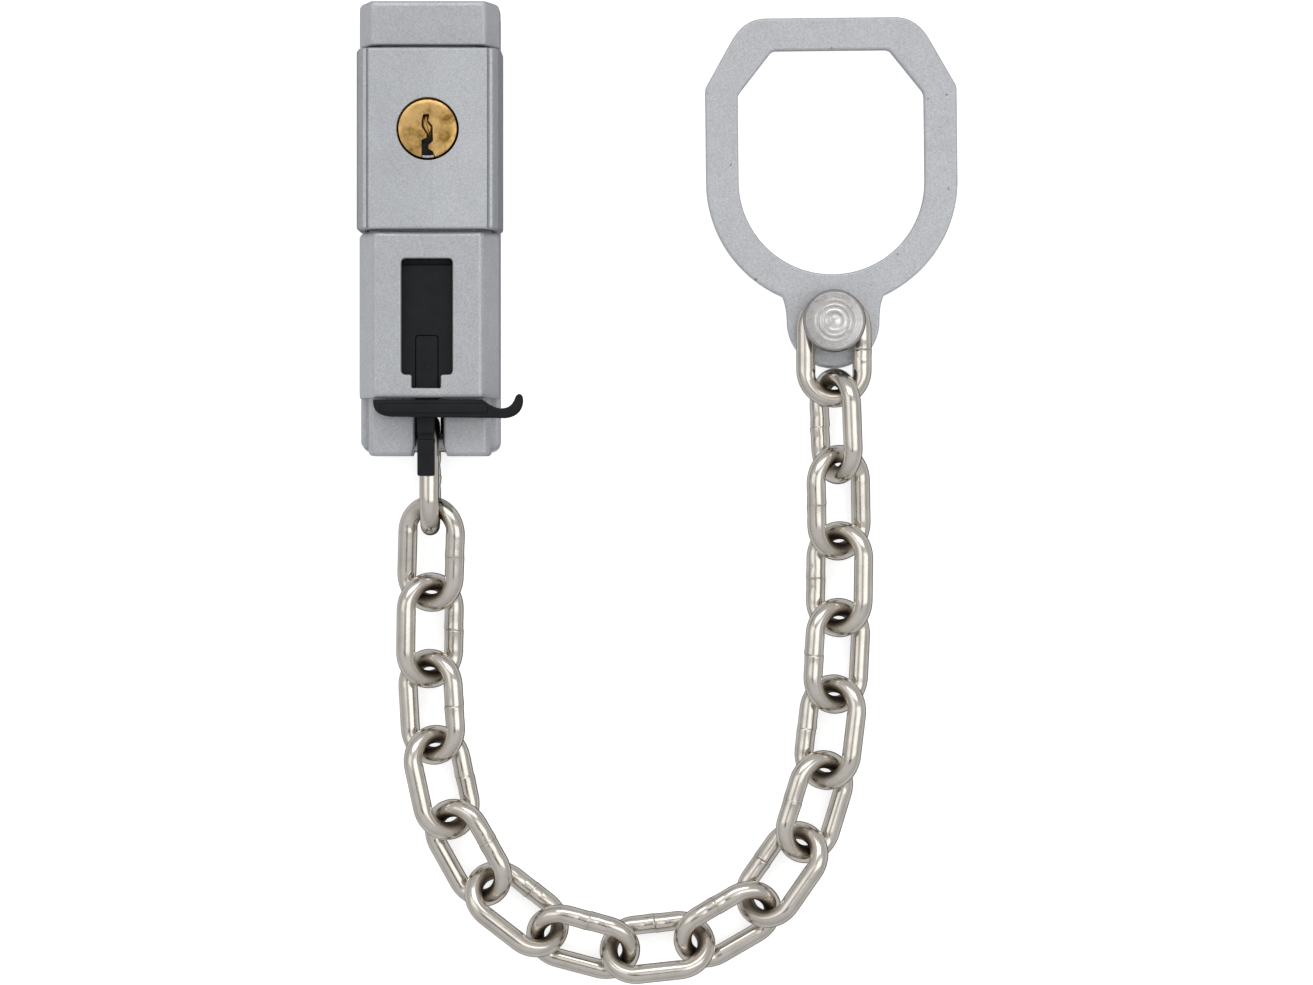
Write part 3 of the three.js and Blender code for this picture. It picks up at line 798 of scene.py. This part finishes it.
def build_slider(plastic):
    """The bar with its finger hook, the marked strip in the window, the tongue over the chain and a rib."""
    def add(name, shape):
        piece(shape, name, "slider", "black_plastic", plastic, "release_slider")

    add("slider_bar", soft_plate(hook_outline(), 16.0, 20.4, 0.45))
    add("bar_crown", soft_plate(rectangle(-9.9, 12.2, -37.55, -35.35, 1.0), 20.1, 20.75, 0.55))
    strip = soft_plate(rectangle(-2.5, 1.9, -37, -21.7, 0.7), 16, 18.12, 0.12)
    add("slider_strip", carved(strip, lathe([(0.9, 18.0), (0.9, 18.3)], *MARK_PLACE, 40)))
    add("strip_mark", lathe([(0.72, 17.9), (0.72, 18.08), (0.64, 18.12)], *MARK_PLACE, 40))
    add("slider_tongue", tongue_plate(1.62, -50.0, -36, 0.4, 16, 17.3, 0.15))
    upper = tongue_plate(1.72, -41.5, -37.6, 0.5, 16.4, 18.35, 0.26)
    dimple = lathe([(0.55, 18.22), (0.55, 18.6)], TONGUE_MIDDLE - 0.05, -39.3, 32)
    add("tongue_block_upper", carved(upper, dimple))
    lower = tongue_plate(1.75, -50.1, -42.7, 0.5, 16.02, 18.05, 0.26)
    dimple = lathe([(0.6, 17.92), (0.6, 18.3)], TONGUE_MIDDLE, -46.9, 32)
    add("tongue_block_lower", carved(lower, dimple))
    add("slider_rib", tongue_plate(1.0, -32.6, -31.2, 0.2, 9.5, 16.5, 0.1))


# ---------------------------------------------------------------- chain
WIRE = 2.0  # the radius of the CAD's wire
SLACK = 0.04  # how much smaller the radius is here, so that neighbours clear each other
BOW_WEAR = 0.22  # how deep the inside of a bow is worn
HALF_WIDTH = 5.75  # from a link's middle to the centre line of each limb
WIRE_SIDES = 28
COARSE_STATIONS = 84  # round a link, away from its weld


def link_place(node):
    """A link's middle, the directions across, along and square to it, and how far its centre line reaches.

    Along points down on a steep link and right on a level one. Across points to the inside of the chain's
    curve, and on link_17 to the outside.
    """
    points = np.array([tuple(vertex.co) for vertex in NODES[node].data.vertices]) / MM
    _, _, axes = np.linalg.svd(points - points.mean(0), full_matrices=False)
    spans = [(points @ axis).min() + (points @ axis).max() for axis in axes]
    middle = Vector(sum(axis * span / 2 for axis, span in zip(axes, spans)))
    along, side = Vector(axes[0]), Vector(axes[1])
    chain_middle = Vector((41, -60, middle.z))
    onward = Vector((0, -1, 0.01)) if abs(along.y) > abs(along.x) else Vector((1, 0, 0))
    if along.dot(onward) < 0:
        along = -along
    if (side.dot(chain_middle - middle) < 0) != (node == "link_17"):
        side = -side
    reach = ((points @ axes[0]).max() - (points @ axes[0]).min()) / 2 - WIRE
    return middle, side, along, side.cross(along), reach


def stadium(reach):
    """Stations round a link: place across and along, outward direction and distance from the weld."""
    limb = reach - HALF_WIDTH
    bow = math.pi * HALF_WIDTH
    total = 4 * limb + 2 * bow
    fine = [-2.8, -2.4, -2.0, -1.6, -1.2, -0.9, -0.65, -0.42, -0.26, -0.15, -0.07, 0,
            0.07, 0.15, 0.26, 0.42, 0.65, 0.9, 1.2, 1.6, 2.0, 2.4, 2.8]
    coarse = [fine[-1] + (total - 2 * fine[-1]) * k / COARSE_STATIONS
              for k in range(1, COARSE_STATIONS)]
    stations = []

    def add_bow(angle, end, distance):
        outward = (math.cos(angle), math.sin(angle))
        place = (HALF_WIDTH * outward[0], end + HALF_WIDTH * outward[1])
        stations.append((place, outward, distance))

    for distance in fine + coarse:
        s = (distance + limb) % total
        if s < 2 * limb:
            stations.append(((HALF_WIDTH, s - limb), (1, 0), distance))
        elif s < 2 * limb + bow:
            add_bow((s - 2 * limb) / HALF_WIDTH, limb, distance)
        elif s < 4 * limb + bow:
            stations.append(((-HALF_WIDTH, limb - (s - 2 * limb - bow)), (-1, 0), distance))
        else:
            add_bow(math.pi + (s - 4 * limb - bow) / HALF_WIDTH, -limb, distance)
    return stations


def hump(offset, width):
    """A smooth hump: 1 at no offset, and close to 0 from twice the width on."""
    return math.exp(-(offset / width) ** 2)


def build_link(number, metal):
    """A welded link: bent wire with a resistance weld in the middle of one limb.

    The weld stands a little proud, with a seam that wanders round the wire, dents from the clamps beside it
    and a small step where the two ends met. Each bow is worn on its inside.
    """
    name = f"link_{number:02d}"
    dice = random.Random(100 + number)
    middle, side, along, normal, reach = link_place(name)
    dice.random()  # passed over, so that the values after it stay as they are
    step = dice.uniform(0.05, 0.10) * dice.choice((-1, 1))
    seam_turn = dice.uniform(0, 2 * math.pi)
    dent_turn = dice.choice((1, -1)) * math.pi / 2 + dice.uniform(-0.4, 0.4)
    phase = dice.uniform(0, 2 * math.pi)

    def weld_relief(distance, angle):
        """How far the weld raises or lowers the wire's surface."""
        facing = math.cos(angle - seam_turn)
        bulge = 0.05 * hump(distance, 1.0) * (1 + 0.7 * facing)
        seam = 0.10 * hump(distance - 0.09 * math.sin(2 * angle + phase), 0.13) * (0.5 + 0.5 * facing)
        dents = 0.12 * hump(abs(distance) - 2.1, 0.6) * max(0.0, math.cos(angle - dent_turn)) ** 3
        return bulge - seam - dents

    def weld_stain(distance, angle):
        """How dark the weld is: a dark seam in a faintly coloured zone."""
        facing = math.cos(angle - seam_turn)
        line = 0.85 * hump(distance - 0.09 * math.sin(2 * angle + phase), 0.10) * (0.55 + 0.45 * facing)
        return min(1.0, 0.12 * hump(distance, 1.4) + line)

    loops, welds, rub_and_shade_values = [], [], []
    for (across, up), (out_x, out_y), distance in stadium(reach):
        loop = []
        shift = step * math.tanh(distance / 0.12) * hump(distance, 2.2)
        in_bow = min(1.0, max(0.0, (abs(out_y) - 0.05) / 0.3))
        for k in range(WIRE_SIDES):
            angle = 2 * math.pi * k / WIRE_SIDES
            wear = BOW_WEAR * in_bow * min(1.0, max(0.0, 0.35 - 1.3 * math.cos(angle)))
            radius = WIRE - SLACK + weld_relief(distance, angle) - wear
            reach_out = radius * math.cos(angle)
            lift = radius * math.sin(angle) + shift
            local = Vector((across + out_x * reach_out, up + out_y * reach_out))
            loop.append(middle + side * local.x + along * local.y + normal * lift)
            welds.append(weld_stain(distance, angle))
            # the mark darkens the inside of each bow where links touch, partly grime and partly painted
            # shade
            inward = max(0.0, 0.35 - math.cos(angle)) / 1.35
            if number == 0 and out_y < 0:
                inward = 1.0  # the bow inside the housing's slot is darkened all round: painted shadow of the slot walls
            rub_and_shade_values.append(min(1.0, 1.25 * hump(1 - abs(out_y), 0.3) * inward))
        loops.append(loop)
    made = stacked(loops, closed=True)
    for label, values in (("weld", welds), ("rub_and_shade", rub_and_shade_values)):
        made.data.attributes.new(label, "FLOAT", "POINT").data.foreach_set("value", values)
    piece(made, f"wire_{number:02d}", f"chain_{number:02d}", "nickel_steel", metal, name, sharp=75)


# ---------------------------------------------------------------- door ring
RING_TURN = 0.6  # degrees
RING_CENTRE = 28.9  # from the rivet to the middle of the ring's lower curve
RING_FACE = 4.0


def ring_outline():
    """The ring's outside, anticlockwise from the left of the eye that holds the rivet."""
    neck = math.degrees(math.atan2(5.2 - RING_CENTRE, 10.4))
    outline = arc(0, 0, 9.5, 180, 360, 28) + curve((9.5, 0), (9.5, 3.4), (10.4, 5.2), 6)
    outline += arc(0, RING_CENTRE, 25.8, neck, 0, 40)
    outline += [(25.8, 47.7)] + curve((25.8, 47.7), (25.75, 48.3), (25.35, 48.9), 3)
    outline += [(20.2, 58.0)] + curve((20.2, 58.0), (17.6, 62.4), (13.3, 62.4), 10)
    outline += [(-13.3, 62.4)] + curve((-13.3, 62.4), (-17.6, 62.4), (-20.2, 58.0), 10)
    outline += [(-25.35, 48.9)] + curve((-25.35, 48.9), (-25.75, 48.3), (-25.8, 47.7), 3)
    outline += arc(0, RING_CENTRE, 25.8, 180, 180 - neck, 40)
    return outline + curve((-10.4, 5.2), (-9.5, 3.4), (-9.5, 0), 6)


def ring_hole():
    """The ring's opening, anticlockwise from the left end of its lower curve."""
    hole = arc(0, RING_CENTRE, 19.1, 180, 360, 60)
    hole += [(19.1, 46.0)] + curve((19.1, 46.0), (19.05, 46.8), (18.7, 47.3), 4)
    hole += [(12.3, 55.4)] + curve((12.3, 55.4), (11.8, 55.8), (11.2, 55.8), 3)
    hole += [(-11.2, 55.8)] + curve((-11.2, 55.8), (-11.8, 55.8), (-12.3, 55.4), 3)
    return hole + [(-18.7, 47.3)] + curve((-18.7, 47.3), (-19.05, 46.8), (-19.1, 46.0), 4)


def rivet_profile(base, top):
    """The rivet from its set end to its turned head, which has three raised rings and a small point."""
    shank = [(3.2, base), (3.6, base + 0.4), (3.6, base + 0.9), (2.2, base + 0.9)]
    head = [(2.2, top - 3), (5.9, top - 3), (6.25, top - 2.85), (6.4, top - 2.5), (6.4, top - 1.1),
            (6.34, top - 0.8), (6.0, top - 0.22), (5.85, top - 0.06), (5.65, top - 0.02)]
    for radius, half, rise in ((4.15, 0.42, 0.09), (3.1, 0.38, 0.11), (2.0, 0.42, 0.13)):
        head += [(radius + half, top - 0.06), (radius + half * 0.45, top - 0.06 + rise * 0.6),
                 (radius, top - 0.06 + rise), (radius - half * 0.45, top - 0.06 + rise * 0.4),
                 (radius - half, top - 0.08)]
    return shank + head + [(1.4, top - 0.12), (0.9, top - 0.03), (0.35, top + 0.08), (0.12, top + 0.1)]


def rivet_middle():
    """The x and y of the rivet's axis."""
    low, high = box_mm("ring_rivet")
    return (low.x + high.x) / 2, (low.y + high.y) / 2


def build_ring(paint, turned):
    """The painted ring, bored for the rivet and its set end, and the rivet."""
    low, high = box_mm("ring_rivet")
    ring = soft_plate(ring_outline(), 0, RING_FACE, 0.55, 0.3)
    bore = lathe([(2.5, -1), (2.5, 5)], 0, 0, 48)
    counterbore = lathe([(3.9, -1), (3.9, 1.4)], 0, 0, 48)
    carved(ring, opening(ring_hole(), -1, RING_FACE, 0.5), bore, counterbore)
    moved(ring, *rivet_middle(), degrees=RING_TURN)
    piece(ring, "ring_plate", "ring", "silver_paint", paint, "door_ring")
    rivet = lathe(rivet_profile(low.z, high.z), 0, 0, 120)
    moved(rivet, *rivet_middle(), degrees=RING_TURN)
    piece(rivet, "rivet_head", "ring", "plain_steel", turned, "ring_rivet", sharp=50)


# ---------------------------------------------------------------- the whole guard
def repaint(material, *nodes):
    """Gives carried-over CAD nodes their material."""
    for name in nodes:
        for each in NODES[name].material_slots:
            each.material = material


def build():
    """The stage, the finer pieces, and the looks of the CAD nodes that are kept."""
    add_camera()
    add_lights()
    add_floor()
    paint = silver_paint("silver_paint_housing", (0.487, 0.5, 0.522), 0.016)
    ring_paint = silver_paint("silver_paint_ring", (0.54, 0.553, 0.573), 0.03, 0.21)
    nickel, steel, gold, plastic = nickel_wire(), plain_steel(), brass(), black_plastic()
    # the sleeve's paint has painted shade on its flanks, down to 0.74 of the face's brightness
    sleeve_paint_flank_shade = silver_paint("silver_paint_sleeve_flank_shade", (0.518, 0.532, 0.555), 0.016, side=0.74)
    build_cover(paint)
    build_slot_shade(plastic)
    build_sleeve(sleeve_paint_flank_shade)
    build_lock(gold, steel, keyway_shade_steel())
    build_liner(plastic)
    build_slider(plastic)
    for number in range(sum(1 for name in NODES if name.startswith("link_"))):
        build_link(number, nickel)
    build_ring(ring_paint, turned_steel(rivet_middle(), 7))
    repaint(steel, "base_plate", "lock_cam", "lock_bar", "anchor_pin", "rivet_washer",
            "cover_screw_top", "cover_screw_left", "cover_screw_right")
    repaint(gold, "lock_cylinder_body")
    repaint(spring_steel(), "cam_circlip", "slider_spring")


build()
